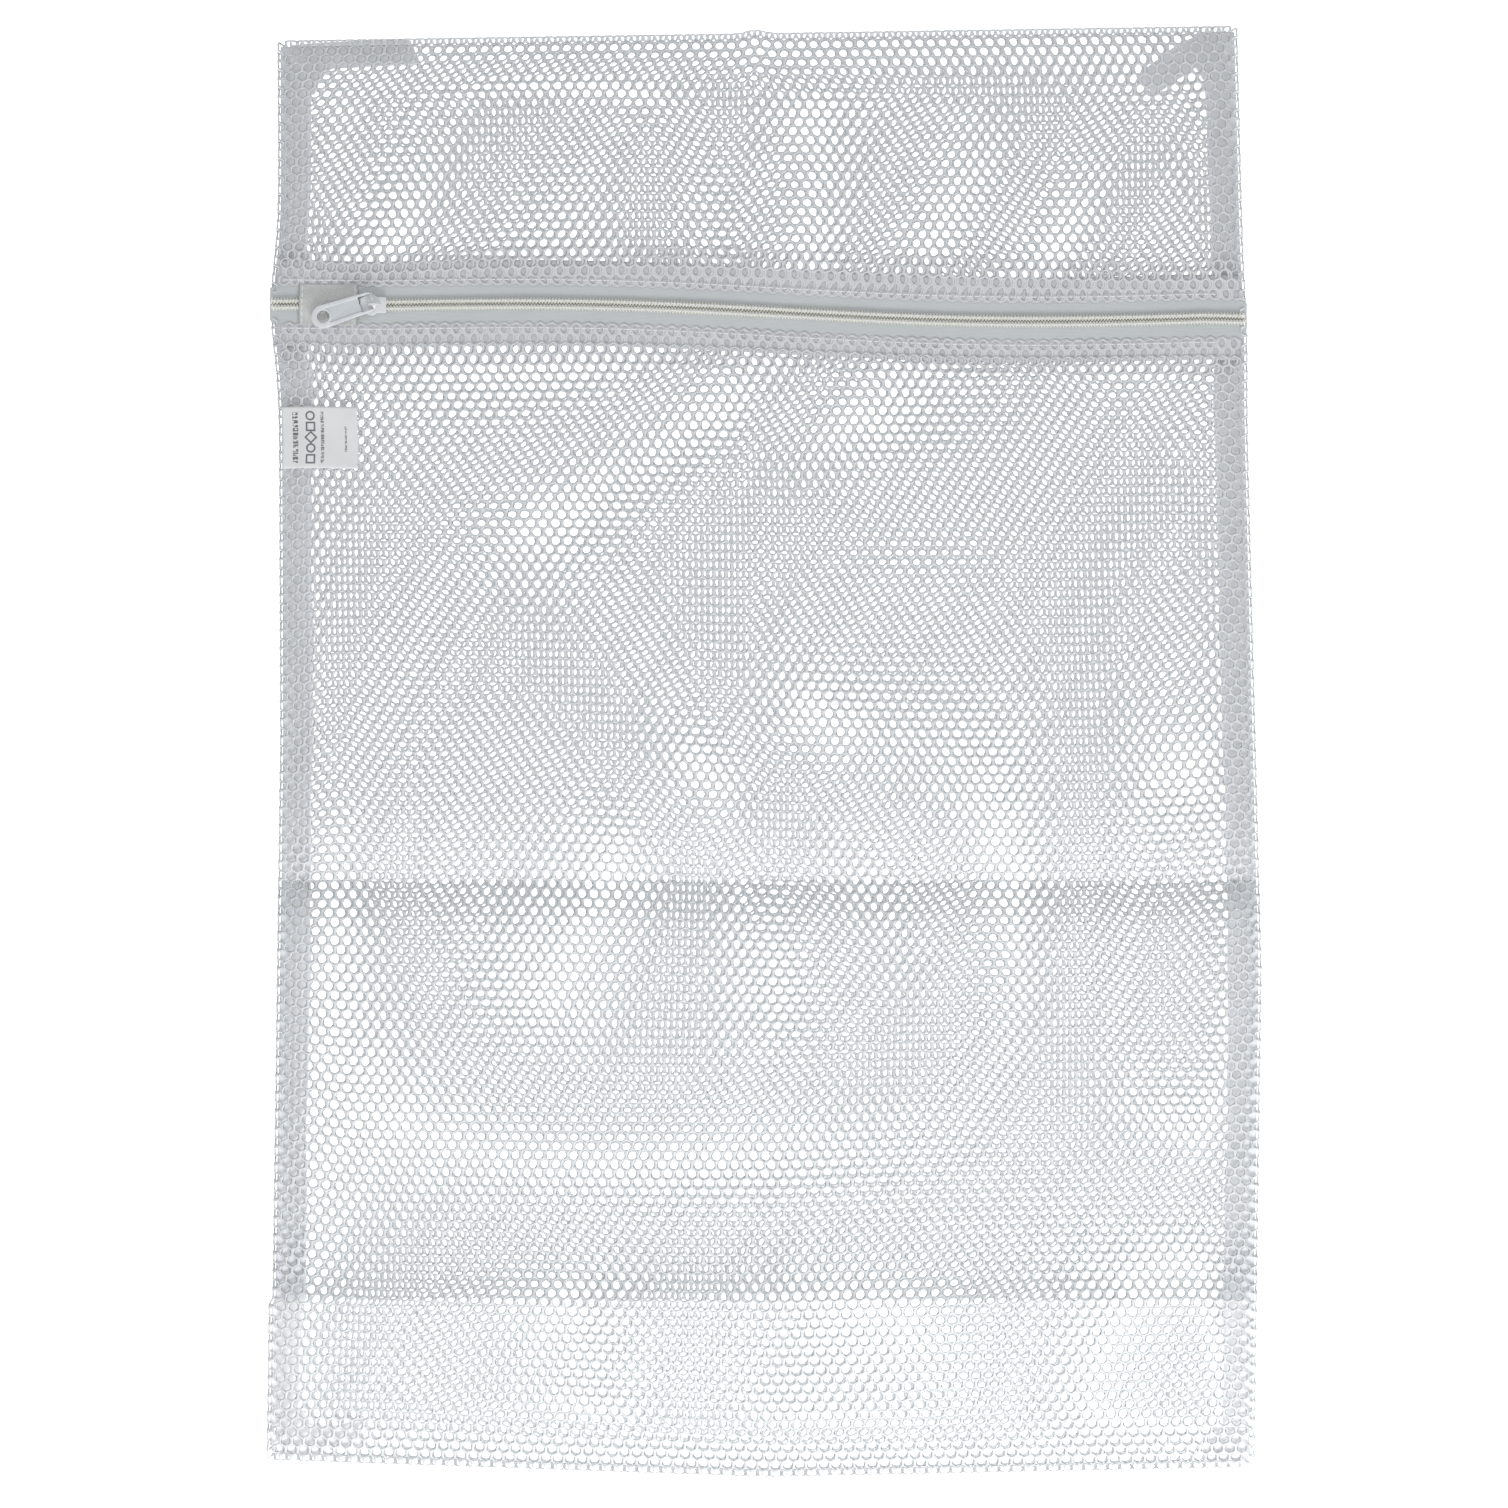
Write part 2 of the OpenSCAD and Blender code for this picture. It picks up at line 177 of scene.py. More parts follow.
class Socket:
    """An output in a material's node tree. Arithmetic on it adds Math nodes."""

    def __init__(self, tree, socket=None):
        self.tree, self.socket = tree, socket

    def node(self, kind, settings=None, inputs=None, output=0):
        """Adds a node: its settings first, then a value or a Socket for each named or numbered input."""
        made = self.tree.nodes.new("ShaderNode" + kind)
        for name, value in (settings or {}).items():
            setattr(made, name, value)
        for name, value in (inputs or {}).items():
            if isinstance(value, Socket):
                self.tree.links.new(value.socket, made.inputs[name])
            else:
                made.inputs[name].default_value = value
        return Socket(self.tree, made.outputs[output])

    def math(self, operation, *values):
        return self.node("Math", {"operation": operation}, dict(enumerate(values)))

    def __add__(self, other):
        return self.math("ADD", self, other)

    def __sub__(self, other):
        return self.math("SUBTRACT", self, other)

    def __rsub__(self, other):
        return self.math("SUBTRACT", other, self)

    def __mul__(self, other):
        return self.math("MULTIPLY", self, other)

    __radd__, __rmul__ = __add__, __mul__

    def sin(self):
        return self.math("SINE", self)

    def abs(self):
        return self.math("ABSOLUTE", self)

    def root(self):
        return self.math("SQRT", self)

    def below(self, limit):
        return self.math("LESS_THAN", self, limit)

    def above(self, limit):
        return self.math("GREATER_THAN", self, limit)

    def largest(self, other):
        return self.math("MAXIMUM", self, other)

    def blend(self, dark, light):
        """A colour between two colours, by this value."""
        return self.node("Mix", {"data_type": "RGBA"}, {0: self, 6: (*dark, 1), 7: (*light, 1)}, output=2)

    def place(self):
        """Object coordinates, which follow the piece."""
        return self.node("TexCoord", output=3)

    def along_cloth(self):
        """The cloth's own flat coordinates in mm: across the piece and along it."""
        flat = self.node("SeparateXYZ", inputs={0: self.node("UVMap", {"uv_map": "flat"})})
        across = Socket(self.tree, flat.socket)
        along = Socket(self.tree, flat.socket.node.outputs[1])
        return across, along

    def noise(self, size, detail=2, rough=0.5, where=None):
        """Even noise from 0 to 1, with blots of a size in mm."""
        return self.node("TexNoise", {}, {"Vector": where or self.place(), "Scale": 1 / (size * mm),
                                          "Detail": detail, "Roughness": rough})

    def bump(self, height, depth, strength=1.0):
        """A normal from a height from 0 to 1 that stands for a depth in mm."""
        return self.node("Bump", {}, {"Height": height, "Distance": depth * mm, "Strength": strength})


def finish(name, **constants):
    """A new Principled material: returns it, its start Socket, and its shader node."""
    material = bpy.data.materials.new(name)
    material.use_nodes = True
    shader = material.node_tree.nodes["Principled BSDF"]
    for key, value in constants.items():
        shader.inputs[key.replace("_", " ")].default_value = value
    return material, Socket(material.node_tree), shader


def feed(shader, **links):
    for key, value in links.items():
        shader.id_data.links.new(value.socket, shader.inputs[key.replace("_", " ")])


def add_piece(name, mesh, material, body, slot, *nodes, smooth=True):
    """Puts a finished mesh in the scene as a piece of the bag that stands for some CAD nodes."""
    mesh.name = name
    mesh.materials.clear()
    mesh.materials.append(material)
    mesh.polygons.foreach_set("use_smooth", [smooth] * len(mesh.polygons))
    piece = bpy.data.objects.new(name, mesh)
    bpy.context.scene.collection.objects.link(piece)
    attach(piece, body)
    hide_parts(*nodes)
    return piece


def warp(mesh, place):
    """Moves every vertex from its flat place in mm to where place() puts it, in metres."""
    flat = np.empty(len(mesh.vertices) * 3)
    mesh.vertices.foreach_get("co", flat)
    flat = flat.reshape(-1, 3)
    mesh.vertices.foreach_set("co", (np.stack(place(*flat.T), 1) * mm).ravel())
    mesh.update()


def with_modifiers(mesh, *modifiers):
    """A copy of a mesh with (kind, settings) modifiers applied."""
    holder = bpy.data.objects.new("holder", mesh)
    bpy.context.scene.collection.objects.link(holder)
    for kind, settings in modifiers:
        modifier = holder.modifiers.new(kind, kind)
        for key, value in settings.items():
            setattr(modifier, key, value)
    applied = bpy.data.meshes.new_from_object(holder.evaluated_get(bpy.context.evaluated_depsgraph_get()))
    bpy.data.objects.remove(holder)
    return applied


def repeat(mesh, count, step, merge=0.0):
    """The mesh repeated count times, step apart."""
    return with_modifiers(mesh, ("ARRAY", {
        "count": count, "use_relative_offset": False, "use_constant_offset": True,
        "constant_offset_displace": step, "use_merge_vertices": merge > 0, "merge_threshold": merge}))


# The knitted cell: its width, the step from row to row, and its height
cell_w, row_h, cell_h = 4.96, 3.69, 4.97
hole_r = 1.77
yarn_r = 0.42
rounded = 0.36

cross_fold = -52.3


def painted_fold_light_and_shade(start, closed_end):
    """Painted light and shade in the cloth's colour, by its two pressed folds and over the closed end:
    painted light above the middle fold, painted shade below it, a painted darker band before the closed-end
    line, and painted light past that line, by closed_end.
    """
    y = start.node("SeparateXYZ", inputs={0: start.place()}, output=1)

    def ramp(low, high):
        """Goes from 0 to 1 between two places along the bag, in mm."""
        return start.node("MapRange", {}, {"Value": y, "From Min": low * mm, "From Max": high * mm})

    # Painted shade: darker on the slope below the middle fold, which faces away from the key light
    far = ramp(-80, cross_fold) * y.below(cross_fold * mm)
    # Painted light: lighter on the slope above the middle fold, which faces the key light
    near = ramp(-18, cross_fold) * y.above(cross_fold * mm)
    # Painted shade: a darker band just before the closed-end line
    painted_shade_before_end = ramp(-185, closed_end_fold) * y.above(closed_end_fold * mm)
    # closed_end is painted light: it makes the zone past the closed-end line lighter
    return near * 0.3 - far * 0.4 - painted_shade_before_end * 0.35 + y.below(closed_end_fold * mm) * closed_end


def yarn_finish(name, dark, light):
    """White polyester yarn of many fine filaments, a little uneven in tone."""
    material, start, shader = finish(name, Roughness=0.72, Sheen_Weight=0.15)
    filaments = start.noise(0.12, detail=3)
    across_strand = start.node("Attribute", {"attribute_name": "across_strand"}, output=2)
    twin = (across_strand * math.pi).sin()
    tone = start.noise(5, detail=2) * 0.35 + start.noise(0.5) * 0.25 + twin * 0.4
    # Besides its uneven tone, the colour carries painted light and shade by the folds, and a faint painted
    # lightening past the closed-end line
    feed(shader, Base_Color=(tone + painted_fold_light_and_shade(start, 0.05)).blend(dark, light),
         Normal=start.bump(filaments * 0.35 + twin * 0.65, 0.16, 0.8))
    return material


yarn = yarn_finish("net_yarn", (0.63, 0.655, 0.67), (0.90, 0.91, 0.92))
# The hem layers get a darker, bluer copy of the same yarn: painted shade
hem_yarn_painted_shade = yarn_finish("hem_yarn_painted_shade", (0.56, 0.57, 0.605), (0.88, 0.885, 0.91))


def net_cell():
    """Half of the strands round one hole: from its rim up, and down, to the middle of each strand."""
    cell = bmesh.new()
    rings = []
    for level in (-1, 0, 1):
        ring = bmesh.ops.create_circle(cell, segments=12, radius=hole_r)["verts"]
        for vert in ring if level else ():
            turn = math.degrees(math.atan2(abs(vert.co.y), abs(vert.co.x)))
            shoulder = row_h - cell_h / 2
            x = np.interp(turn, (0, 30, 60, 90), (cell_w / 2, cell_w / 2, cell_w / 4, 0))
            y = np.interp(turn, (0, 30, 60, 90), (0, shoulder, (shoulder + cell_h / 2) / 2, cell_h / 2))
            vert.co = Vector((math.copysign(x, vert.co.x), math.copysign(y, vert.co.y), level * yarn_r))
        rings.append({edge for vert in ring for edge in vert.link_edges})
    bmesh.ops.bridge_loops(cell, edges=list(rings[0] | rings[1]))
    bmesh.ops.bridge_loops(cell, edges=list(rings[1] | rings[2]))
    mesh = bpy.data.meshes.new("cell")
    cell.to_mesh(mesh)
    cell.free()
    return mesh


def knit(columns, first_row, rows):
    """A flat piece of net in mm, its columns centred on 0 and its first row where it belongs."""
    cell = net_cell()
    net = bmesh.new()
    for odd in (0, 1):
        count = len([row for row in range(first_row, first_row + rows) if row % 2 == odd])
        if count:
            row = first_row + (first_row + odd) % 2
            half = repeat(repeat(cell, columns, (cell_w, 0, 0)), count, (0, 2 * row_h, 0))
            across = (odd + 0.5 - columns) * cell_w / 2
            half.transform(Matrix.Translation((across, (row + 0.5) * row_h, 0)))
            net.from_mesh(half)
    bmesh.ops.remove_doubles(net, verts=net.verts, dist=0.05)
    open_edges = [edge for edge in net.edges if edge.is_boundary]
    wall = bmesh.ops.bridge_loops(net, edges=open_edges)["faces"]
    posts = list({edge for face in wall for edge in face.edges} - set(open_edges))
    outer = bmesh.ops.subdivide_edges(net, edges=posts, cuts=1)["geom_inner"]
    bmesh.ops.recalc_face_normals(net, faces=net.faces)
    net.normal_update()
    for vert in [v for v in outer if isinstance(v, bmesh.types.BMVert)]:
        vert.co += vert.normal * rounded
    mesh = bpy.data.meshes.new("net")
    net.to_mesh(mesh)
    net.free()
    return mesh


def net_piece(name, columns, first_row, rows, place, node, material=yarn, smooth=True):
    mesh = knit(columns, first_row, rows)
    heights = np.empty(len(mesh.vertices) * 3)
    mesh.vertices.foreach_get("co", heights)
    across_strand = mesh.attributes.new("across_strand", "FLOAT", "POINT")
    across_strand.data.foreach_set("value", np.abs(heights[2::3]) / yarn_r)
    warp(mesh, place)
    return add_piece(name, mesh, material, "bag", "net", node, smooth=smooth)


yarn_share = 0.5


def net_sheet(rows):
    """Works out the area of a face's net that its yarn covers, about half of the cut piece, the rest being
    holes; the result is not kept.
    """
    flat = (columns * cell_w * mm, rows * row_h * mm)
    yarn_share * flat[0] * flat[1]


columns = 80
half_width = (columns + 0.5) * cell_w / 2


def on_face(rows, low, high, height, drift):
    """place() for a face of so many rows between two edges, low(x) and high(x)."""

    def place(u, v, w):
        across = (u + half_width) / (2 * half_width)
        along = v / (rows * row_h)
        y = low(0 * u) + along * (high(0 * u) - low(0 * u))
        for _ in range(3):
            side_l, side_r = left_x(y) + rim_reach, right_x(y) - rim_reach
            x = side_l + across * (side_r - side_l)
            y = low(x) + along * (high(x) - low(x))
        fade = smooth_step((edge_distance(x, y) - rim_reach) / 30) * smooth_step(along * (1 - along) * 24)
        dx, dy = drift(x, y)
        x, y = x + fade * dx, y + fade * dy
        wobble = 0.16
        x = x + wobble * np.sin(1.9 * x + 1.3 * y) * np.sin(0.61 * y + 0.3 * x)
        y = y + wobble * np.sin(1.4 * y - 1.7 * x) * np.sin(0.53 * x - 0.2 * y)
        return x, y, height(x, y) + w

    return place


def back_drift(x, y):
    return 2.0 * np.sin(x / 48 + y / 90 + 1.0), 2.0 * np.sin(y / 50 - x / 85)


def front_drift(x, y):
    return -2.2 * np.sin(x / 55 - y / 80), -2.2 * np.sin(x / 75 + y / 52 + 0.5)


def inner_bottom(x):
    return bottom_y(x) + rim_reach


def inner_top(x):
    return top_y(x) - rim_reach


# The back face, from fold to fold
back_rows = 158
back_place = on_face(back_rows, inner_bottom, inner_top, back_height, back_drift)
back_parts = [(first, min(40, back_rows - first)) for first in range(0, back_rows, 40)]
back_nets = [net_piece(f"back_face_{number + 1}", columns, first, rows, back_place, "back_net")
             for number, (first, rows) in enumerate(back_parts)]

# The front face below the zip; its last rows are the top layer of the lower hem
show_half = 8.2
hem_rows = 2


def hem_below(x):
    return zip_y(x) - show_half


def hem_above(x):
    return zip_y(x) + show_half


lower_rows = 126
lower_place = on_face(lower_rows, inner_bottom, hem_below, front_height, front_drift)
lower_parts = [(0, 42), (42, 42), (84, 40)]
lower_nets = [net_piece(f"front_face_lower_{number + 1}", columns, first, rows, lower_place,
                        "front_lower_net")
              for number, (first, rows) in enumerate(lower_parts)]

# The front face above the zip; its first rows are the top layer of the upper hem
upper_rows = 28
upper_place = on_face(upper_rows, hem_above, inner_top, front_height, front_drift)
upper_net = net_piece("front_face_upper", columns, hem_rows, upper_rows - hem_rows, upper_place,
                      "front_upper_net")

# The hems: the face's own last rows over the same net turned back under them, ironed nearly flat
pressed = 0.1


def turned_under(place, edge_row, sink, shift):
    """place() for the layer below, shifted half a cell so that it doesn't lie in register."""

    def below(u, v, w):
        x, y, z = place(u + shift, 2 * edge_row * row_h - v, pressed * w)
        return x, y, z - sink

    return below


def pressed_flat(place):
    return lambda u, v, w: place(u, v, pressed * w)


for side, place, top_first, fold_row, under_first, inset in (
        ("upper", upper_place, 0, 0, -3, 0.5),
        ("lower", lower_place, lower_rows - hem_rows, lower_rows, lower_rows, -0.5)):
    under = turned_under(place, fold_row, 0.1, 1.5)
    inner = turned_under(place, fold_row + inset, 0.2, -1.2)
    [
        net_piece(f"hem_{side}_{layer}_layer", columns, first, rows, lies, f"zip_hem_{side}", hem_yarn_painted_shade,
                  smooth=False)
        for layer, first, rows, lies in (("top", top_first, hem_rows, pressed_flat(place)),
                                         ("turned", under_first, 3, under),
                                         ("inner", under_first, 3, inner))]


# The folds at the two ends, and the turned edges along the two sides
def round_rim(t):
    """Reach and height of the rim's half-round section, t from 0 at the back to 1 at the front."""
    angle = (np.clip(t, 0, 1) - 0.5) * math.pi
    return rim_reach * np.cos(angle), rim_middle + rim_rise * np.sin(angle)


def on_end(edge, outward):
    def place(u, v, w):
        t = v / (2 * row_h)
        reach, z = round_rim(t)
        y = edge(0 * u) - outward * rim_reach
        width = right_x(y) - left_x(y) - 2 * rim_reach
        x = left_x(y) + rim_reach + (u + half_width) / (2 * half_width) * width
        tilt = (t - 0.5) * math.pi
        return x, edge(x) + outward * (reach - rim_reach + w * np.cos(tilt)), z + w * np.sin(tilt)

    return place


def on_side(side, outward, rows):
    def place(u, v, w):
        t = u / (1.5 * cell_w) + 0.5
        reach, z = round_rim(t)
        low, high = bottom_y(side(0 * v)) + 1, top_y(side(0 * v)) - 1
        y = low + v / (rows * row_h) * (high - low)
        tilt = (t - 0.5) * math.pi
        return side(y) + outward * (reach - rim_reach + w * np.cos(tilt)), y, z + w * np.sin(tilt)

    return place


top_turn = net_piece("net_fold_top", columns, 0, 2, on_end(top_y, 1), "top_fold")
bottom_turn = net_piece("net_fold_bottom", columns, 0, 2, on_end(bottom_y, -1), "bottom_fold")
side_rows = 159
side_turns = [net_piece(f"net_turn_{side}", 1, 0, side_rows, on_side(edge, outward, side_rows),
                        f"side_seam_{side}")
              for side, edge, outward in (("left", left_x, -1), ("right", right_x, 1))]

# --- Side binding -----------------------------------------------------------------------------
# A white woven polyester tape is folded over the raw net edges along each side and sewn through.
# It lies inside the bag, and its loose ends stick out along the edge in the four corners.
seam_w, binding_w, binding_t = 2.0, 12.2, 0.5
binding_mid, binding_gap = 3.0, 1.5

tape, start, shader = finish("binding_tape", Roughness=0.8, Sheen_Weight=0.2)
across, along = start.along_cloth()
weave = (across * (math.pi / 0.42)).sin() * (along * (math.pi / 0.36)).sin() * 0.5 + 0.5
slubs = start.noise(1.3, detail=3)
patches = start.noise(9, detail=1)
# The tone carries painted light and shade by the folds, and a strong painted lightening past the closed-end
# line
tone = patches * 0.4 + slubs * 0.4 + 0.05 + painted_fold_light_and_shade(start, 0.5)
feed(shader, Base_Color=tone.blend((0.80, 0.82, 0.86), (0.97, 0.97, 0.98)),
     Normal=start.bump(weave * 0.6 + slubs * 0.8, 0.12, 0.8))


def woven_strip(width, length, cuts, place, thickness):
    """A closed strip of woven cloth with its own flat coordinates, put in place from (p, q) in mm."""
    strip = bmesh.new()
    flat = strip.loops.layers.uv.new("flat")
    bmesh.ops.create_grid(strip, x_segments=cuts[0], y_segments=cuts[1], size=0.5)
    bmesh.ops.transform(strip, verts=strip.verts,
                        matrix=Matrix.Diagonal((width, length, 1, 1)) @ Matrix.Translation((0.5, 0.5, 0)))
    for face in strip.faces:
        for loop in face.loops:
            loop[flat].uv = loop.vert.co.xy
    mesh = bpy.data.meshes.new("strip")
    strip.to_mesh(mesh)
    strip.free()
    warp(mesh, place)
    thick = with_modifiers(mesh, ("SOLIDIFY", {"thickness": thickness * mm, "offset": 0}))
    shell = bmesh.new()
    shell.from_mesh(thick)
    bmesh.ops.recalc_face_normals(shell, faces=shell.faces)
    shell.to_mesh(thick)
    shell.free()
    return thick


def folds_in_tape(y):
    """The same two folds across the bag, as far as the tapes take them up."""
    middle = np.interp(y, (-95, -66, -54, -40), (0, 0.3, -0.9, 0))
    return middle + np.interp(y, (-285, -223, -214), (0, 0.3, 0))


def folded_tape(edge, inward, low):
    """place() for the tape: in along its under side, round the fold, and back along its upper side."""
    fold_r = binding_gap / 2
    leg = binding_w - fold_r - binding_t / 2
    turn = math.pi * fold_r

    def place(p, q, _):
        y = low + q
        angle = np.clip((p - leg) / fold_r, 0, math.pi)
        flat = np.where(p < leg, p, np.where(p < leg + turn, leg, 2 * leg + turn - p))
        wander = (0.35 * np.sin(y / 19) + 0.25 * np.sin(y / 7.3 + 1)) * flat / leg
        depth = seam_w - 0.7 + flat + fold_r * np.sin(angle) + wander
        lift = 0.12 * np.sin(y / 13 + 0.2 * flat) + folds_in_tape(y)
        return edge(y) + inward * depth, y, binding_mid - fold_r * np.cos(angle) + lift

    return place, 2 * leg + turn


def raw_edges(edge, inward, low, high, rows):
    """place() for the cut net edges, which lie pressed between the tape's two sides."""

    def place(u, v, w):
        y = low + v / (rows * row_h) * (high - low)
        depth = seam_w + (u / (2.5 * cell_w) + 0.5) * (binding_w - 1.6)
        return edge(y) + inward * depth, y, binding_mid + 0.9 * w

    return place


thread, start, shader = finish("sewing_thread", Roughness=0.55, Sheen_Weight=0.3)
plies = (start.node("SeparateXYZ", inputs={0: start.place()}) * 9000).sin() * 0.5 + 0.5
feed(shader, Base_Color=start.noise(2).blend((0.86, 0.87, 0.88), (0.95, 0.95, 0.96)),
     Normal=start.bump(plies, 0.05, 0.6))


def stitch_row(count, step, place, width=0.5, height=0.34):
    """A row of lock stitches: each one a short rounded float of thread that dips in at both ends."""
    stitch = bmesh.new()
    bmesh.ops.create_uvsphere(stitch, u_segments=6, v_segments=5, radius=0.5)
    bmesh.ops.rotate(stitch, verts=stitch.verts, matrix=Matrix.Rotation(math.pi / 2, 3, "X"))
    bmesh.ops.scale(stitch, verts=stitch.verts, vec=(width, step * 0.92, height))
    mesh = bpy.data.meshes.new("stitch")
    stitch.to_mesh(mesh)
    stitch.free()
    mesh.transform(Matrix.Translation((0, step / 2, 0)))
    row = repeat(mesh, count, (0, step, 0))
    warp(row, place)
    return row


for side, edge, inward in (("left", left_x, 1), ("right", right_x, -1)):
    low, high = (corner.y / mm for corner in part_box(f"binding_{side}"))
    place, tape_width = folded_tape(edge, inward, low)
    mesh = woven_strip(tape_width, high - low, (28, 190), place, binding_t)
    binding = add_piece(f"folded_tape_{side}", mesh, tape, "bag", "binding_tape", f"binding_{side}")
    tape_width * mm

    rows = 154
    between = raw_edges(edge, inward, low + 1, high - 1, rows)
    net_piece(f"raw_net_edges_{side}", 2, 0, rows, between, f"seam_allowance_{side}")

    def beside_edge(u, v, w, edge=edge, inward=inward, low=low):
        y = low + 2 + v
        top = binding_mid + binding_gap / 2 + binding_t / 2
        return edge(y) + inward * (seam_w + 2.2 + u), y, top + 0.12 + w

    step = 2.9
    mesh = stitch_row(int((high - low - 4) / step), step, beside_edge)
    add_piece(f"seam_stitches_{side}", mesh, thread, "bag", "thread", f"seam_thread_{side}")


# The yarn area of each face piece is worked out here; the narrow turned strips are left out, and the
# results are not kept
net_sheet(back_parts[0][1])
for piece, (_, rows) in list(zip(back_nets, back_parts))[1:]:
    net_sheet(rows)
net_sheet(lower_parts[0][1])
net_sheet(lower_parts[1][1])
net_sheet(lower_parts[2][1])
net_sheet(upper_rows - hem_rows)


def tape_tail(name, points, thickness=1.1):
    """A loose folded end of the tape: a flat outline with soft edges and a slightly wavy surface."""
    tail = bmesh.new()
    outline = [tail.verts.new((x, y, 0)) for x, y in points]
    face = tail.faces.new(outline)
    flat_area = face.calc_area()
    cut = bmesh.ops.extrude_face_region(tail, geom=[face])["geom"]
    raised = [v for v in cut if isinstance(v, bmesh.types.BMVert)]
    bmesh.ops.translate(tail, verts=raised, vec=(0, 0, thickness))
    bmesh.ops.recalc_face_normals(tail, faces=tail.faces)
    bmesh.ops.bevel(tail, geom=list(tail.edges), offset=0.35, affect="EDGES", segments=3, profile=0.5,
                    material=-1)
    bmesh.ops.triangulate(tail, faces=tail.faces)
    long = [edge for edge in tail.edges if edge.calc_length() > 3]
    bmesh.ops.subdivide_edges(tail, edges=long, cuts=4, use_grid_fill=True)
    flat = tail.loops.layers.uv.new("flat")
    for face in tail.faces:
        for loop in face.loops:
            loop[flat].uv = loop.vert.co.xy
    mesh = bpy.data.meshes.new(name)
    tail.to_mesh(mesh)
    tail.free()
    warp(mesh, lambda x, y, z: (x, y, 3.25 + z + 0.12 * np.sin(x / 5 + y / 7)))
    piece = add_piece(name.replace("binding_tail", "tape_end"), mesh, tape, "bag", "binding_tape", name)
    xs, ys = zip(*points)
    return piece, (max(xs) - min(xs), max(ys) - min(ys)), flat_area


# Each tail by its corner of the bag, and its outline as (inward, along the side) steps from that corner
tails = {
    "binding_tail_top_left": (left_side[-1], (1, -1), [
        (5, 1.8), (20, 0.6), (54, -0.6), (58.5, 9.2), (40, 10.6), (22, 11.5), (17.5, 15.5),
        (15.4, 22), (5, 22)]),
    "binding_tail_top_right": (right_side[-1], (-1, -1), [
        (2.5, 3.0), (12, 2.2), (24, 7), (41, 20), (34, 28.5), (17, 17), (14, 22), (3, 18)]),
    "binding_tail_bottom_left": (left_side[0], (1, 1), [
        (4, 2.2), (20, 3.0), (39, 6.5), (37.5, 16.5), (22, 13.2), (16.5, 15), (15, 20), (4, 19)]),
    "binding_tail_bottom_right": (right_side[0], (-1, 1), [
        (2.5, 2.4), (20.5, 2.2), (21.5, 13), (16, 16.5), (3, 16.2)]),
}
for name, (corner, (sx, sy), steps) in tails.items():
    piece, size, flat_area = tape_tail(name, [(corner[0] + sx * x, corner[1] + sy * y) for x, y in steps])
    size[0] * mm
    size[1] * mm
    flat_area * mm * mm

# --- Zip tapes --------------------------------------------------------------------------------
# Each half of the zip is a woven polyester tape. Its inner edge carries the coil, and its outer
# edge lies under the net's hem, sewn down with a row of white thread.
tape_w = {"upper": 17.8, "lower": 16.8}
tape_t = 0.6
coil_edge = 0.05
zip_end_l = left_x(zip_y(-198)) - 0.2
zip_end_r = right_x(zip_y(194)) - 0.2

zip_tape, start, shader = finish("zip_tape", Roughness=0.7, Sheen_Weight=0.25)
across, along = start.along_cloth()
stripe = across.math("PINGPONG", across, 2.1)
twill = ((stripe + along * 0.8) * (math.pi / 0.38)).sin() * 0.5 + 0.5
cords = (across * (math.pi / 0.55)).sin().abs()
streaks = start.noise(1, where=start.node("CombineXYZ", inputs={0: across * 0.0022, 1: along * 0.0001}))
tone = start.noise(0.8, detail=3) * 0.2 + start.noise(14) * 0.3 + streaks * 0.5
hem_from = 7.6
open_cloth = tone.blend((0.55, 0.58, 0.59), (0.71, 0.735, 0.74))
# Painted shade: the tape under the hem gets a tone of its own for how it looks in the net's shade; the
# cloth is the same all across
painted_shade_under_hem = tone.blend((0.56, 0.57, 0.60), (0.70, 0.71, 0.73))
colour = start.node("Mix", {"data_type": "RGBA"},
                    {0: across.above(hem_from), 6: open_cloth, 7: painted_shade_under_hem}, output=2)
feed(shader, Base_Color=colour, Normal=start.bump(twill * 0.5 + cords * 0.5, 0.1, 0.8))


def along_zip(u, v, raise_by):
    """The place at u along the zip and v across it, raised above the front net's level there."""
    offset = v + zip_wave(u)
    x = zip_start[0] + u * zip_way[0] + offset * zip_cross[0]
    y = zip_start[1] + u * zip_way[1] + offset * zip_cross[1]
    depth = np.minimum(x - left_x(y), right_x(y) - x)
    level = rim_z + (front_z - rim_z) * smooth_step((depth - rim_reach) / rim_w) + raise_by
    over_rim = np.clip((rim_reach - depth) / (rim_reach + 1.0), 0, 1)
    return x, y, rim_middle + (level - rim_middle) * np.sqrt(1 - over_rim ** 2)


for side, sign in (("upper", 1), ("lower", -1)):
    length = zip_end_r - zip_end_l

    def tape_place(p, q, _, sign=sign, length=length):
        drape = 0.06 * np.sin(q / 11 + sign) * smooth_step(p / 6)
        draw_in = (1 - 2 * q / length) * 2.4 * smooth_step((p - 6.5) / 2)
        return along_zip(zip_end_l + q + draw_in, sign * (coil_edge + p), -0.6 + drape)

    mesh = woven_strip(tape_w[side], length, (14, 330), tape_place, tape_t)
    half = add_piece(f"zip_cloth_{side}", mesh, zip_tape, "bag", "zip_tape", f"zip_tape_{side}")
    length * mm

    def hem_line(u, v, w, sign=sign):
        return along_zip(zip_end_l + 5 + v, sign * (show_half + 1.6 + u), 0.5 + w)

    mesh = stitch_row(131, 2.9, hem_line)
    add_piece(f"hem_stitches_{side}", mesh, thread, "bag", "thread", f"zip_thread_{side}")

# --- Coils ------------------------------------------------------------------------------------
# Each half's teeth are one nylon monofilament wound in a flat coil, sewn on over a filler cord.
# The two coils' turns stand between each other and lock where they cross the middle.
turn_step = 1.27
wire_r = 0.32
turn_r = 1.07
coil_flat = 0.58
coil_mid = 1.25
coil_z = 0.35
cord_r = 0.72

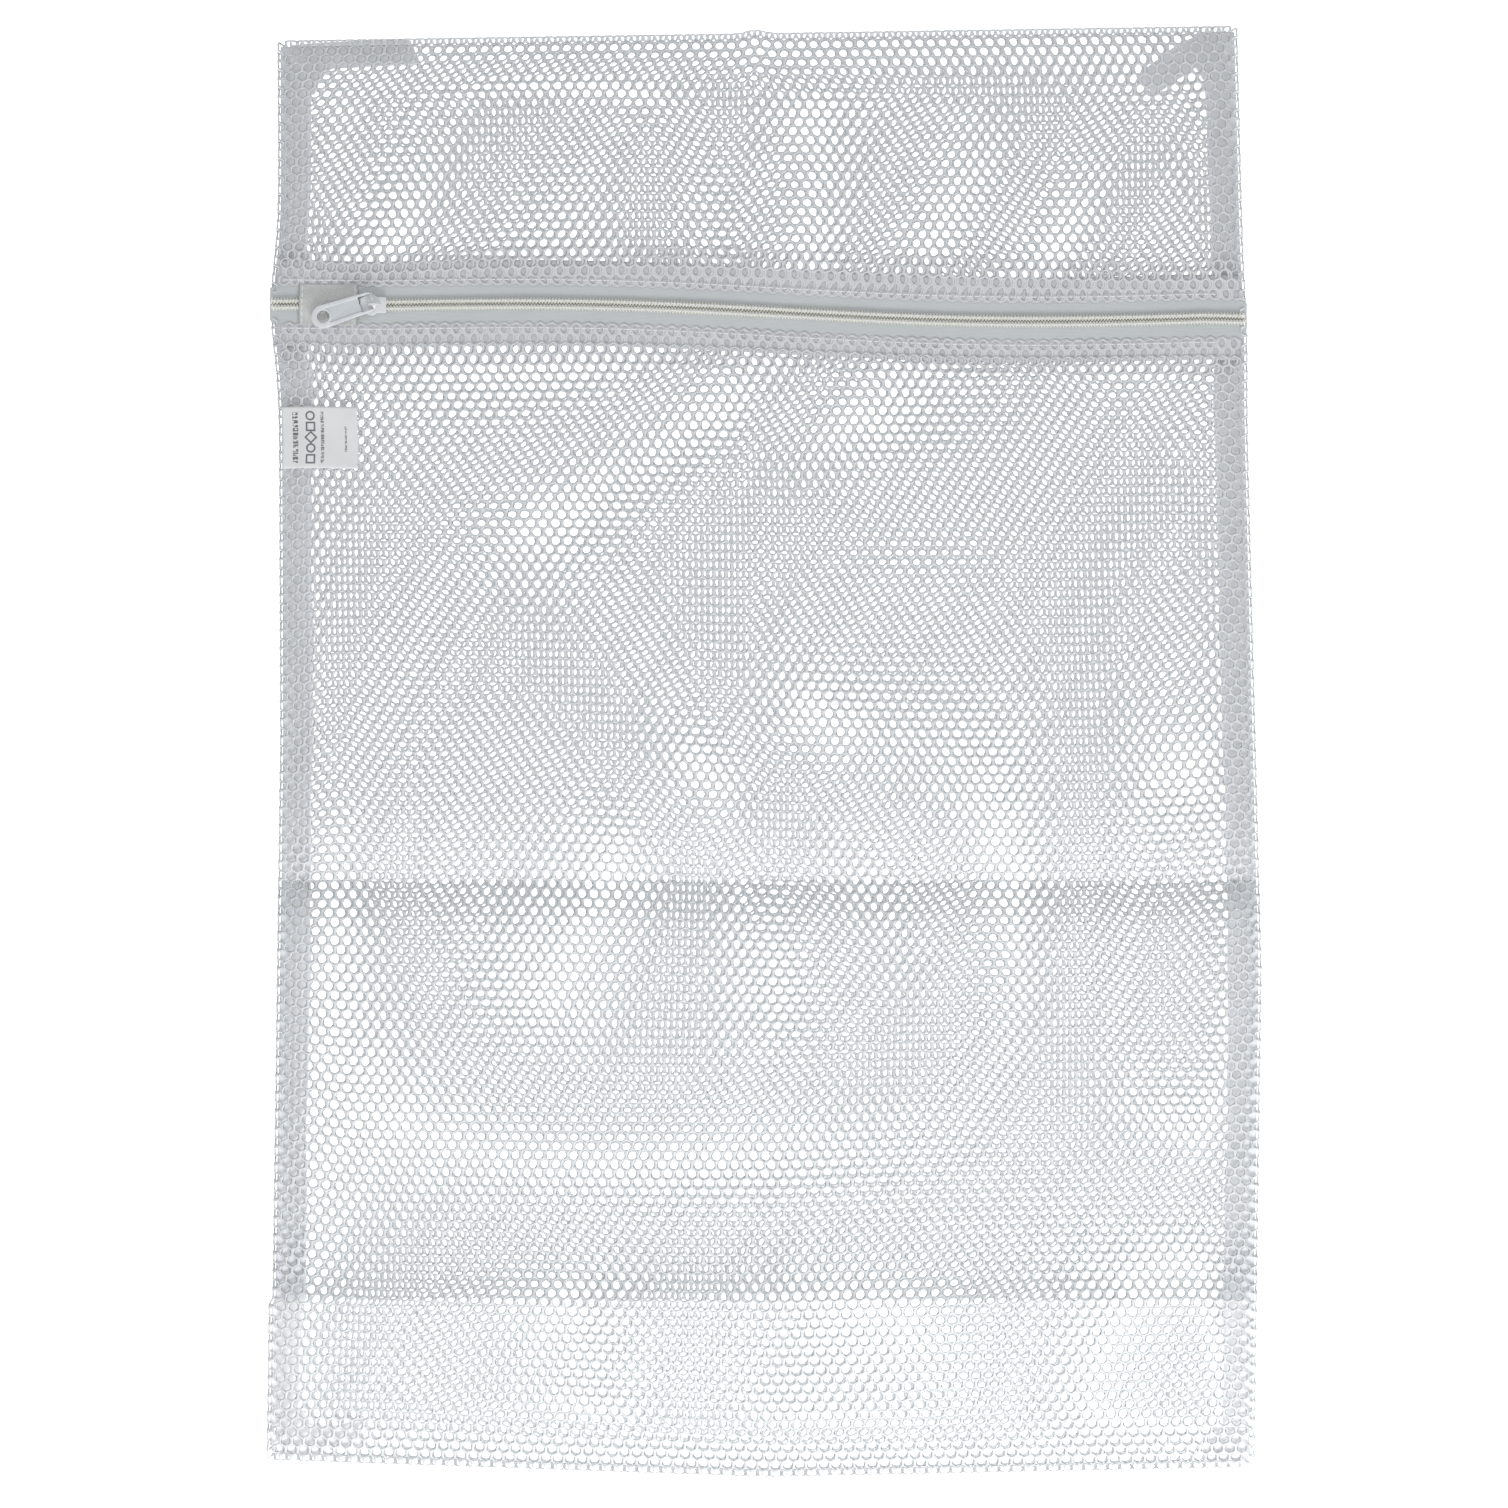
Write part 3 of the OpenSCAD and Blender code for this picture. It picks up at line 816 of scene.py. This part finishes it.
nylon, start, shader = finish("coil_nylon", Roughness=0.34, IOR=1.53, Coat_Weight=0.15)
feed(shader, Base_Color=start.noise(6).blend((0.80, 0.79, 0.70), (0.90, 0.89, 0.81)),
     Normal=start.bump(start.noise(0.6), 0.03, 0.5))
core_cord, start, shader = finish("filler_cord", Roughness=0.85)
feed(shader, Base_Color=start.noise(0.7).blend((0.80, 0.80, 0.77), (0.92, 0.92, 0.90)),
     Normal=start.bump(start.noise(0.25), 0.08, 0.8))


def one_turn():
    """One turn of the filament round the cord, a helix step long."""
    turn = bmesh.new()
    wire = bmesh.ops.create_circle(turn, segments=5, radius=wire_r)["verts"]
    bmesh.ops.translate(turn, verts=wire, vec=(0, turn_r, 0))
    steps = 10
    bmesh.ops.spin(turn, geom=list(turn.verts) + list(turn.edges), cent=(0, 0, 0), axis=(1, 0, 0),
                   dvec=(turn_step / steps, 0, 0), angle=2 * math.pi, steps=steps, use_merge=False)
    bmesh.ops.remove_doubles(turn, verts=turn.verts, dist=0.001)
    bmesh.ops.recalc_face_normals(turn, faces=turn.faces)
    bmesh.ops.scale(turn, verts=turn.verts, vec=(1, 1, coil_flat))
    mesh = bpy.data.meshes.new("turn")
    turn.to_mesh(mesh)
    turn.free()
    return mesh


turns = int((zip_end_r - zip_end_l - 1) / turn_step)
for side, sign in (("upper", 1), ("lower", -1)):
    coil = repeat(one_turn(), turns, (turn_step, 0, 0), merge=0.02)
    coil.transform(Matrix.Translation((zip_end_l + 0.5 + (0.5 - sign / 2) * turn_step / 2, 0, 0)))
    warp(coil, lambda u, v, w, sign=sign: along_zip(u, sign * (coil_mid - v), coil_z + w))
    wound = bmesh.new()
    wound.from_mesh(coil)
    bmesh.ops.holes_fill(wound, edges=[edge for edge in wound.edges if edge.is_boundary])
    bmesh.ops.recalc_face_normals(wound, faces=wound.faces)
    wound.to_mesh(coil)
    wound.free()
    add_piece(f"coil_winding_{side}", coil, nylon, "bag", "zip_coil", f"coil_{side}")

    cord = bmesh.new()
    bmesh.ops.create_cone(cord, cap_ends=True, segments=8, radius1=cord_r, radius2=cord_r, depth=1)
    bmesh.ops.rotate(cord, verts=cord.verts, matrix=Matrix.Rotation(math.pi / 2, 3, "Y"))
    bmesh.ops.scale(cord, verts=cord.verts, vec=(turns * turn_step, 1, coil_flat))
    long = [edge for edge in cord.edges if edge.calc_length() > 10]
    bmesh.ops.subdivide_edges(cord, edges=long, cuts=260)
    mesh = bpy.data.meshes.new("cord")
    cord.to_mesh(mesh)
    cord.free()
    middle = (zip_end_l + zip_end_r) / 2
    warp(mesh, lambda u, v, w, sign=sign: along_zip(middle + u, sign * (coil_mid + v), coil_z + w))

    def over_coil(u, v, w, sign=sign):
        crest = coil_z + coil_flat * (turn_r + wire_r) - 0.05
        return along_zip(zip_end_l + 0.5 + v, sign * (coil_mid + 0.15 + u), crest + w)

    sewn = bmesh.new()
    sewn.from_mesh(mesh)
    sewn.from_mesh(stitch_row(int(turns / 2), 2 * turn_step, over_coil, width=0.6, height=0.3))
    sewn.to_mesh(mesh)
    sewn.free()
    add_piece(f"coil_cord_{side}", mesh, core_cord, "bag", "thread", f"coil_core_{side}")

# --- Patch over the zip's closed end ----------------------------------------------------------
# A short piece of woven tape is sewn across the zip where it is closed for good. It is stitched
# down at both ends, so a groove runs across it there.
patch_l, patch_r = -190.0, -166.0
patch_half = 8.3
grooves = (patch_l + 1.3, patch_r - 1.3)
groove_w = 0.6

patch_cloth, start, shader = finish("patch_tape", Roughness=0.75, Sheen_Weight=0.2)
across, along = start.along_cloth()
ribs = ((across.math("PINGPONG", across, 1.2) + along * 0.9) * (math.pi / 0.45)).sin() * 0.5 + 0.5
half_length = (patch_r - patch_l) / 2
# Painted shadow: a thin dark line along both ends of the patch
painted_end_shadow = (across - half_length).abs().above(half_length - 0.45)
tone = start.noise(1.1, detail=3) * 0.5 + start.noise(8) * 0.3 + ribs * 0.2 - painted_end_shadow * 1.0
feed(shader, Base_Color=tone.blend((0.50, 0.505, 0.50), (0.84, 0.84, 0.83)),
     Normal=start.bump(ribs, 0.14, 0.9))


def patch_level(u, v):
    over_coil = 1 - smooth_step((np.abs(v) - 1.2) / 6.4)
    groove = sum(np.exp(-((u - middle) / groove_w) ** 2) for middle in grooves)
    ruck = 0.1 * np.sin(u / 2.3 + v / 5)
    return 0.05 + 1.15 * over_coil - 0.4 * groove + ruck


mesh = woven_strip(patch_r - patch_l, 2 * patch_half, (40, 30), lambda p, q, _: along_zip(
    patch_l + p, q - patch_half, patch_level(patch_l + p, q - patch_half)), 0.5)
patch = add_piece("end_patch", mesh, patch_cloth, "bag", "zip_tape", "zip_end_patch")

rows = bmesh.new()
for end in grooves:
    rows.from_mesh(stitch_row(6, 2.6, lambda u, v, w, end=end: along_zip(
        end + u, v - 7.8, patch_level(end + u, v - 7.8) + 0.3 + w)))
mesh = bpy.data.meshes.new("patch_thread")
rows.to_mesh(mesh)
rows.free()
add_piece("patch_stitches", mesh, thread, "bag", "thread", "patch_thread")

# --- Slider -----------------------------------------------------------------------------------
# A zinc die casting in white enamel: two plates joined by a divider at the shoulders, rails on
# the upper plate's sides, and an arch on top that holds the pull tab.
under_z, over_z, plate_t = 5.2, 7.8, 0.9

enamel, start, shader = finish("white_enamel", Roughness=0.24, IOR=1.5, Coat_Weight=0.5,
                               Coat_Roughness=0.08)
worn = start.noise(3, detail=4)
sunk_field_painted_reflection = start.node("Attribute", {"attribute_name": "sunk_field_painted_reflection"}, output=2)
# Painted reflection: the tab's sunk field is tinted darker and bluish by its attribute
feed(shader, Base_Color=(worn * (1 - sunk_field_painted_reflection * 0.9)).blend((0.68, 0.71, 0.75), (0.93, 0.93, 0.93)),
     Normal=start.bump(start.noise(1.6), 0.05, 0.35))


def slab(part, points, low, high):
    """Adds a closed slab of an outline to a bmesh, and returns its vertices."""
    bottom = part.faces.new([part.verts.new((x, y, low)) for x, y in points])
    raised = bmesh.ops.extrude_face_region(part, geom=[bottom])["geom"]
    top = [v for v in raised if isinstance(v, bmesh.types.BMVert)]
    bmesh.ops.translate(part, verts=top, vec=(0, 0, high - low))
    bmesh.ops.recalc_face_normals(part, faces=part.faces)
    return list(bottom.verts) + top


def to_zip(u, turn=0.0, z=0.0):
    """Matrix from a part's own mm to metres in place on the zip's line."""
    angle = math.atan2(zip_way[1], zip_way[0]) + turn
    at = Vector((*(zip_start + u * zip_way), z)) * mm
    return Matrix.Translation(at) @ Matrix.Rotation(angle, 4, "Z") @ Matrix.Scale(mm, 4)


half_plan = [(-5.7, 2.4), (-3.5, 3.7), (-1.6, 4.2), (-0.5, 4.4), (0.3, 3.9), (1.2, 3.2), (5, 3.2)]
plan = half_plan + [(x, -y) for x, y in reversed(half_plan)]
body = bmesh.new()
slab(body, plan, under_z - plate_t, under_z)
slab(body, plan, over_z, over_z + plate_t)
slab(body, [(-4.2, -0.3), (-1.2, -0.3), (-1.2, 0.3), (-4.2, 0.3)], under_z - 0.1, over_z + 0.1)
for side in (1, -1):
    rail = [(-2.6, 2.7), (5, 2.7), (5, 3.2), (1.2, 3.2), (0.3, 3.9), (-0.5, 4.4), (-1.6, 4.2), (-2.6, 3.95)]
    slab(body, [(x, side * y) for x, y in rail], 6.5, over_z + 0.1)
arch = bmesh.new()
foot = bmesh.ops.create_grid(arch, x_segments=1, y_segments=1, size=0.5)["verts"]
bmesh.ops.scale(arch, verts=foot, vec=(0.8, 1.1, 1))
bmesh.ops.translate(arch, verts=foot, vec=(-2.55, 0, 0))
bmesh.ops.spin(arch, geom=list(arch.faces), cent=(0, 0, 0), axis=(0, 1, 0), angle=math.pi, steps=16)
bmesh.ops.recalc_face_normals(arch, faces=arch.faces)
bmesh.ops.scale(arch, verts=arch.verts, vec=(1, 1, 0.98))
bmesh.ops.translate(arch, verts=arch.verts, vec=(0, 0, over_z + plate_t - 0.05))
arch_mesh = bpy.data.meshes.new("arch")
arch.to_mesh(arch_mesh)
arch.free()
body.from_mesh(arch_mesh)
mesh = bpy.data.meshes.new("slider")
body.to_mesh(mesh)
body.free()
mesh.transform(to_zip(slider_u))
mesh = with_modifiers(mesh, ("BEVEL", {"width": 0.28 * mm, "segments": 3, "limit_method": "ANGLE",
                                       "angle_limit": math.radians(50)}))
add_piece("slider_casting", mesh, enamel, "slider", "painted_metal", "slider_body")

# --- Pull tab ---------------------------------------------------------------------------------
# A thin white enamelled tab with a round free end. It has a raised rim, a shallow sunk field, a
# round hole near its free end, and a cross bar that turns in the slider's arch.
tab_l, tab_w, tab_bar_w, tab_t = 25.7, 9.4, 8.1, 1.6
tab_turn = math.radians(18.8)
tab_slide = 1.5
hole_r_tab, hole_rim, side_rim = 2.6, 0.7, 1.5
window_l, window_w = 5.4, 6.4
round_x = -tab_l + tab_w / 2


def arc(cx, cy, r, start, end, count):
    angles = np.radians(np.linspace(start, end, count))
    return [(cx + r * math.cos(a), cy + r * math.sin(a)) for a in angles]


def solid(points, low, high):
    part = bmesh.new()
    slab(part, points, low, high)
    mesh = bpy.data.meshes.new("solid")
    part.to_mesh(mesh)
    part.free()
    shape = bpy.data.objects.new("solid", mesh)
    bpy.context.scene.collection.objects.link(shape)
    return shape


bar_half = tab_bar_w / 2
blank_half = [(round_x, tab_w / 2), (-1.6, bar_half), (-0.5, bar_half - 0.35), (0, bar_half - 1)]
blank = arc(round_x, 0, tab_w / 2, 90, 270, 41)[1:-1]
blank += [(x, -y) for x, y in blank_half] + blank_half[::-1]
field_r = tab_w / 2 - side_rim
field_half = [(-window_l + 0.2, bar_half - side_rim + 0.2), (round_x + 2.2, field_r - 0.05)]
field = field_half + arc(round_x, 0, hole_r_tab + hole_rim, 58, -58, 15)
field += [(x, -y) for x, y in field_half[::-1]]
window_y = window_w / 2
window = [(-window_l, -window_y), (1, -window_y), (1, window_y), (-window_l, window_y)]
tab = solid(blank, -tab_t / 2, tab_t / 2)
cuts = [
    solid(arc(round_x, 0, hole_r_tab, 0, 352.5, 48), -2, 2),
    solid(window, -2, 2),
    solid(field, tab_t / 2 - 0.4, 2),
]
for cut in cuts:
    cutter = tab.modifiers.new("cut", "BOOLEAN")
    cutter.operation, cutter.object, cutter.solver = "DIFFERENCE", cut, "EXACT"
soften = tab.modifiers.new("soften", "BEVEL")
soften.width, soften.segments, soften.limit_method = 0.22, 3, "ANGLE"
soften.angle_limit = math.radians(50)
shaped = bpy.data.meshes.new_from_object(tab.evaluated_get(bpy.context.evaluated_depsgraph_get()))
for tool in [tab, *cuts]:
    bpy.data.objects.remove(tool)
whole = bmesh.new()
whole.from_mesh(shaped)
bar = bmesh.ops.create_cone(whole, cap_ends=True, segments=24, radius1=tab_t / 2, radius2=tab_t / 2,
                            depth=tab_bar_w - 1)
bmesh.ops.rotate(whole, verts=bar["verts"], matrix=Matrix.Rotation(math.pi / 2, 3, "X"))
mesh = bpy.data.meshes.new("pull_tab")
whole.to_mesh(mesh)
whole.free()
# Marks the sunk field, which the enamel tints darker and bluish as a painted reflection
sunk_field_painted_reflection = mesh.attributes.new("sunk_field_painted_reflection", "FLOAT", "POINT")
for vert, value in zip(mesh.vertices, sunk_field_painted_reflection.data):
    value.value = float(0 < vert.co.z < tab_t / 2 - 0.2 and round_x + 2 < vert.co.x < -window_l + 0.3)
mesh.transform(to_zip(slider_u, tab_turn, slider_at[2]) @ Matrix.Translation((0, tab_slide, 0)))
add_piece("pull_tab_plate", mesh, enamel, "pull_tab", "painted_metal", "pull_tab")

# --- Care label -------------------------------------------------------------------------------
# A short piece of white satin ribbon whose end is caught in the side seam. Its print is only a
# stand-in: broken bars for the lines of words, and plain outlined shapes for the signs.
label_l, label_h, label_t = 30.8, 25.2, 0.3
label_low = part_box("care_label")[0] / mm

satin, start, shader = finish("label_satin", Roughness=0.42, Sheen_Weight=0.3, Specular_IOR_Level=0.6)
across, along = start.along_cloth()
floats = (along * (math.pi / 0.14)).sin() * 0.5 + 0.5
steps = (across * (math.pi / 0.5)).sin() * 0.5 + 0.5


def printed_line(middle, height, low, high, seed):
    """A mask of one line of print, broken into uneven dashes."""
    in_height = (across - middle).abs().below(height / 2)
    in_length = (along - (low + high) / 2).abs().below((high - low) / 2)
    words = start.node("TexNoise", {"noise_dimensions": "1D"}, {"W": along * 0.45 + seed, "Detail": 0.0})
    pitch = 0.75 * height
    marks = (along * (math.pi / pitch)).sin().abs().above(0.3)
    spot = start.node("CombineXYZ", inputs={0: along * (1.6 / pitch) + seed, 1: across * (1.5 / height)})
    bars = start.node("TexNoise", {"noise_dimensions": "2D"}, {"Vector": spot, "Scale": 1.0, "Detail": 0.0})
    return in_height * in_length * marks * words.above(0.33) * bars.above(0.36)


def outlined(middle, along_at, size, kind):
    """A mask of a square, round or diamond outline."""
    dx, dy = (across - middle).abs(), (along - along_at).abs()
    reach = {"square": dx.largest(dy), "diamond": (dx + dy) * 0.72,
             "round": (dx * dx + dy * dy).root()}[kind]
    return (reach - size).abs().below(0.34)


ink = printed_line(5.4, 2.2, 2.2, 23.2, 3.1)
ink = ink.largest(printed_line(16.4, 1.3, 1.8, 23.0, 11.7))
ink = ink.largest(printed_line(25.9, 0.9, 6.9, 17.1, 21.3))
for number, kind in enumerate(("square", "round", "diamond", "square", "round")):
    ink = ink.largest(outlined(11.6, 3.8 + 4.4 * number, 1.6, kind))
upper_side = start.node("Attribute", {"attribute_name": "upper_side"}, output=2)
faded = (start.noise(0.5, detail=3) * 0.4 + 0.72) * upper_side
mottle = start.noise(4, detail=2) * 0.5 + start.noise(12) * 0.5
cloth = mottle.blend((0.80, 0.82, 0.82), (0.90, 0.905, 0.90))
grey_ink = (0.12, 0.13, 0.14, 1)
colour = start.node("Mix", {"data_type": "RGBA"}, {0: ink * faded, 6: cloth, 7: grey_ink}, output=2)
feed(shader, Base_Color=colour, Normal=start.bump(floats * 0.6 + steps * 0.3, 0.06, 0.6))


def label_place(p, q, _):
    x, y = label_low.x + p, label_low.y + q
    free = smooth_step(p / 12)
    curl = 1.2 * (p / label_l) ** 3 + 0.45 * np.sin(q / 5.2 + p / 9) * free
    z = np.maximum(front_height(x, y), 6.2) + 0.75 + curl
    return x + 0.25 * np.sin(q / 6), y + 0.15 * np.sin(p / 7), z


mesh = woven_strip(label_l, label_h, (32, 26), label_place, label_t)
upper_faces = mesh.attributes.new("upper_side", "FLOAT", "FACE")
upper_faces.data.foreach_set("value", [float(face.normal.z > 0) for face in mesh.polygons])
label = add_piece("satin_label", mesh, satin, "care_label", "label_satin", "care_label")

# --- Floor and light --------------------------------------------------------------------------
# The bag lies on a white lit table. A large soft light stands towards the closed end and a little
# to the right, and a narrow one brightens the last part of the bag below its pressed fold.
floor = bmesh.new()
bmesh.ops.create_grid(floor, x_segments=1, y_segments=1, size=12)
mesh = bpy.data.meshes.new("floor")
floor.to_mesh(mesh)
floor.free()
table, start, shader = finish("white_table", Roughness=0.9, Emission_Strength=1.05)
feed(shader, Base_Color=start.noise(400).blend((0.80, 0.80, 0.80), (0.82, 0.82, 0.82)),
     Emission_Color=start.noise(400).blend((0.99, 0.99, 0.99), (1.0, 1.0, 1.0)))
mesh.materials.append(table)
ground = bpy.data.objects.new("floor", mesh)
ground.location.z = -0.2 * mm
bpy.context.scene.collection.objects.link(ground)

world = bpy.data.worlds.new("studio")
world.use_nodes = True
world.node_tree.nodes["Background"].inputs["Color"].default_value = (0.97, 0.985, 1.0, 1)
world.node_tree.nodes["Background"].inputs["Strength"].default_value = 0.63
bpy.context.scene.world = world
bpy.context.scene.view_settings.view_transform = "Standard"


def lamp(name, place, target, size, power, spread=180.0):
    light = bpy.data.lights.new(name, "AREA")
    light.shape, light.size, light.size_y = "RECTANGLE", *size
    light.energy, light.spread = power, math.radians(spread)
    holder = bpy.data.objects.new(name, light)
    holder.location = place
    holder.rotation_euler = (Vector(target) - Vector(place)).to_track_quat("-Z", "Y").to_euler()
    holder.visible_camera = False
    bpy.context.scene.collection.objects.link(holder)


lamp("key", (0.14, -0.75, 0.55), (0, -0.1, 0), (0.6, 0.3), 5)
lamp("closed_end", (0, -0.262, 0.16), (0, -0.262, 0), (0.5, 0.078), 0.005, 4)
